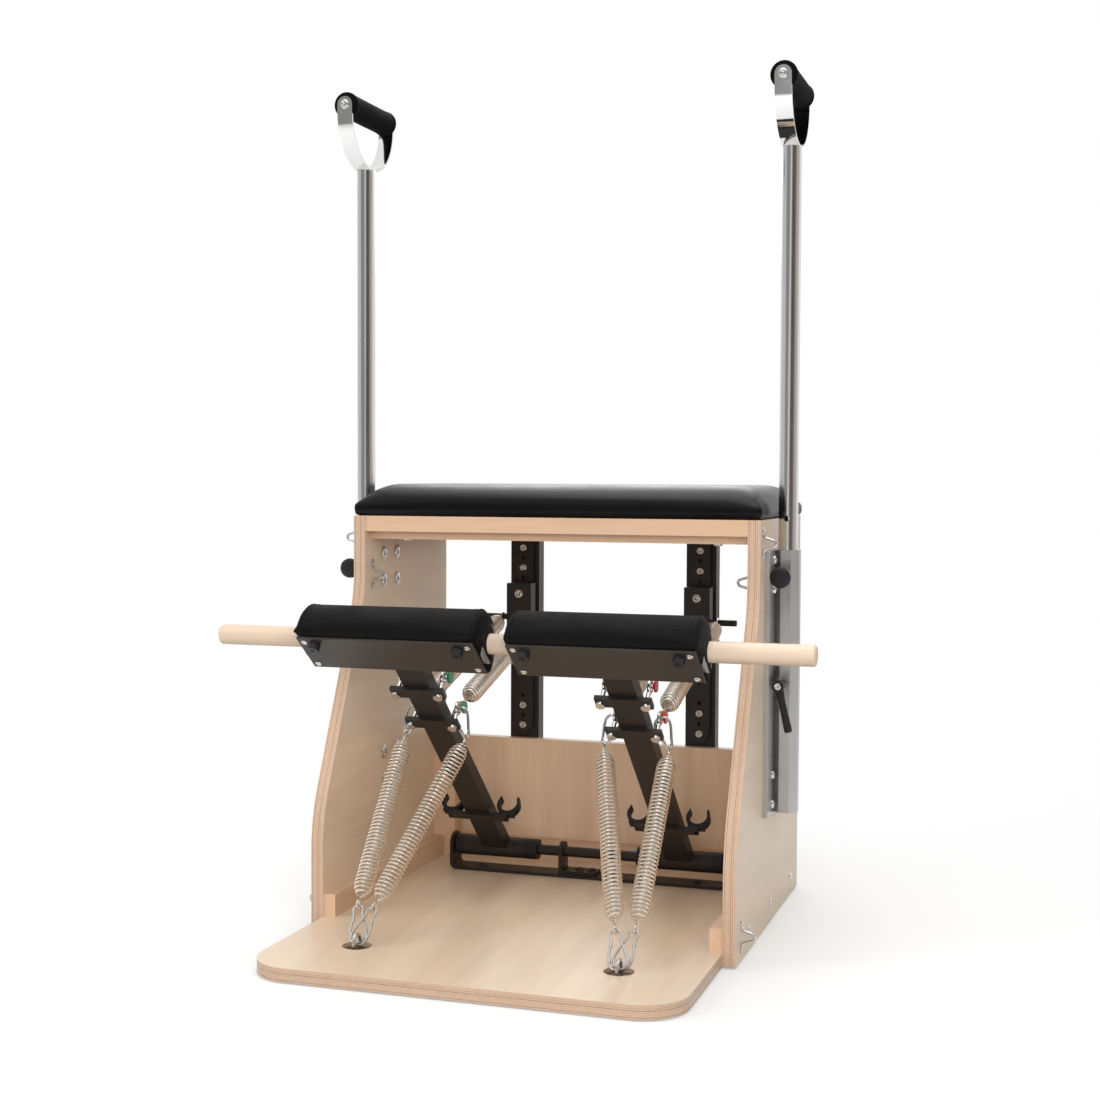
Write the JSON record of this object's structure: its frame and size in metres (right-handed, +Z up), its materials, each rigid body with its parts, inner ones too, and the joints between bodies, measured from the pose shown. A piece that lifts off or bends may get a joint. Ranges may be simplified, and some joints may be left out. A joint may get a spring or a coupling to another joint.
{
  "type": "pilates chair",
  "caption": "Plywood exercise chair with a padded seat, sprung foot pedals joined by a wooden dowel, and tall hand poles that slide in guides on the side panels",
  "frame": {"origin": "on the floor, midway between the side panels, at their front edge", "axes": "+X to the sitter's view right side of the picture, +Y to the back, +Z up"},
  "size_m": [0.838, 0.748, 1.223],
  "materials": {
    "birch_ply": "clear lacquered birch plywood",
    "beech": "clear lacquered beech",
    "leatherette": "grained black leatherette",
    "rubber": "matt",
    "black_steel": "satin powder coat",
    "zinc_steel": "bright zinc",
    "spring_steel": "warm nickel",
    "chrome": "polished",
    "stainless": "brushed stainless",
    "anodised": "grey anodised",
    "pad_cover": "textured black cover",
    "core_wood": "raw timber core",
    "black_plastic": "moulded black",
    "tag_plastic": "coloured"
  },
  "bodies": {
    "frame": {"base_board": "birch_ply", "floor_anchors": "chrome", "floor_pads": "rubber", "floor_snap_hooks": "chrome", "frame_fasteners": "zinc_steel", "front_springs_left": "spring_steel", "front_springs_right": "spring_steel", "pad_eyes": "chrome", "pivot_bracket": "black_steel", "pivot_shaft": "zinc_steel", "pole_guide_left": "anodised", "pole_guide_right": "anodised", "rear_panel": "birch_ply", "rear_springs_left": "spring_steel", "rear_springs_right": "spring_steel", "seat_cushion": "leatherette", "seat_deck": "birch_ply", "seat_front_rail": "beech", "shaft_support": "black_steel", "side_panel_left": "birch_ply", "side_panel_right": "birch_ply", "spring_carriages": "black_steel", "spring_upright_left": "black_steel", "spring_upright_right": "black_steel", "wood_battens": "beech"},
    "left_pedal": {"pedal_arm_left": "black_steel", "pivot_bushes_left": "black_plastic", "storage_clips_left": "black_plastic", "eye_bolts_left": "zinc_steel", "colour_tags_left": "tag_plastic", "pedal_snap_hooks_left": "chrome", "pedal_plate_left": "black_steel", "pedal_core_left": "core_wood", "pedal_pad_left": "pad_cover", "pedal_end_plates_left": "anodised", "pedal_screws_left": "zinc_steel"},
    "right_pedal": {"pedal_arm_right": "black_steel", "pivot_bushes_right": "black_plastic", "storage_clips_right": "black_plastic", "eye_bolts_right": "zinc_steel", "colour_tags_right": "tag_plastic", "pedal_snap_hooks_right": "chrome", "pedal_plate_right": "black_steel", "pedal_core_right": "core_wood", "pedal_pad_right": "pad_cover", "pedal_end_plates_right": "anodised", "pedal_screws_right": "zinc_steel"},
    "dowel": {"dowel": "beech"},
    "left_handle": {"handle_pole_left": "stainless", "handle_grip_left": "black_plastic"},
    "left_index_pin": {"index_pin_left": "black_plastic"},
    "left_clamp_lever": {"clamp_lever_left": "black_plastic"},
    "left_outer_thumbscrew": {"thumbscrew_left_outer": "black_plastic"},
    "left_inner_thumbscrew": {"thumbscrew_left_inner": "black_plastic"},
    "right_handle": {"handle_pole_right": "stainless", "handle_grip_right": "black_plastic"},
    "right_index_pin": {"index_pin_right": "black_plastic"},
    "right_clamp_lever": {"clamp_lever_right": "black_plastic"},
    "right_outer_thumbscrew": {"thumbscrew_right_outer": "black_plastic"},
    "right_inner_thumbscrew": {"thumbscrew_right_inner": "black_plastic"}
  },
  "joints": [
    {"name": "left_pedal_swing", "type": "hinge", "parent": "frame", "child": "left_pedal", "pos_m": [0, 0.35, 0.0575], "axis": [1, 0, 0], "range_deg": [-6, 26], "stiffness_Nm_per_rad": 170, "deforming": ["front_springs_left", "rear_springs_left"]},
    {"name": "right_pedal_swing", "type": "hinge", "parent": "frame", "child": "right_pedal", "pos_m": [0, 0.35, 0.0575], "axis": [1, 0, 0], "range_deg": [-6, 26], "stiffness_Nm_per_rad": 170, "deforming": ["front_springs_right", "rear_springs_right"]},
    {"name": "dowel_slide", "type": "slide", "parent": "left_pedal", "child": "dowel", "axis": [1, 0, 0], "range_m": [-0.12, 0.12]},
    {"name": "left_handle_height", "type": "slide", "parent": "frame", "child": "left_handle", "axis": [0, 0, 1], "range_m": [-0.082, 0.164]},
    {"name": "left_index_pin_pull", "type": "slide", "parent": "frame", "child": "left_index_pin", "axis": [0, -1, 0], "range_m": [0, 0.008], "stiffness_N_per_m": 900, "springref_m": -0.01},
    {"name": "left_clamp_lever_turn", "type": "hinge", "parent": "frame", "child": "left_clamp_lever", "pos_m": [-0.33, 0.1874, 0.356], "axis": [0, 1, 0], "range_deg": [-4, 75]},
    {"name": "left_outer_thumbscrew_turn", "type": "hinge", "parent": "left_pedal", "child": "left_outer_thumbscrew", "pos_m": [-0.253, -0.09929, 0.42076], "axis": [0, -0.6088, -0.7934], "continuous": true},
    {"name": "left_inner_thumbscrew_turn", "type": "hinge", "parent": "left_pedal", "child": "left_inner_thumbscrew", "pos_m": [-0.046, -0.09929, 0.42076], "axis": [0, -0.6088, -0.7934], "continuous": true},
    {"name": "right_handle_height", "type": "slide", "parent": "frame", "child": "right_handle", "axis": [0, 0, 1], "range_m": [-0.082, 0.164]},
    {"name": "right_index_pin_pull", "type": "slide", "parent": "frame", "child": "right_index_pin", "axis": [0, -1, 0], "range_m": [0, 0.008], "stiffness_N_per_m": 900, "springref_m": -0.01},
    {"name": "right_clamp_lever_turn", "type": "hinge", "parent": "frame", "child": "right_clamp_lever", "pos_m": [0.33, 0.1874, 0.356], "axis": [0, -1, 0], "range_deg": [-4, 75]},
    {"name": "right_outer_thumbscrew_turn", "type": "hinge", "parent": "right_pedal", "child": "right_outer_thumbscrew", "pos_m": [0.253, -0.09929, 0.42076], "axis": [0, -0.6088, -0.7934], "continuous": true},
    {"name": "right_inner_thumbscrew_turn", "type": "hinge", "parent": "right_pedal", "child": "right_inner_thumbscrew", "pos_m": [0.046, -0.09929, 0.42076], "axis": [0, -0.6088, -0.7934], "continuous": true}
  ],
  "couplings": [
    {"joint": "right_pedal_swing", "follows": "left_pedal_swing", "ratio": 1}
  ]
}
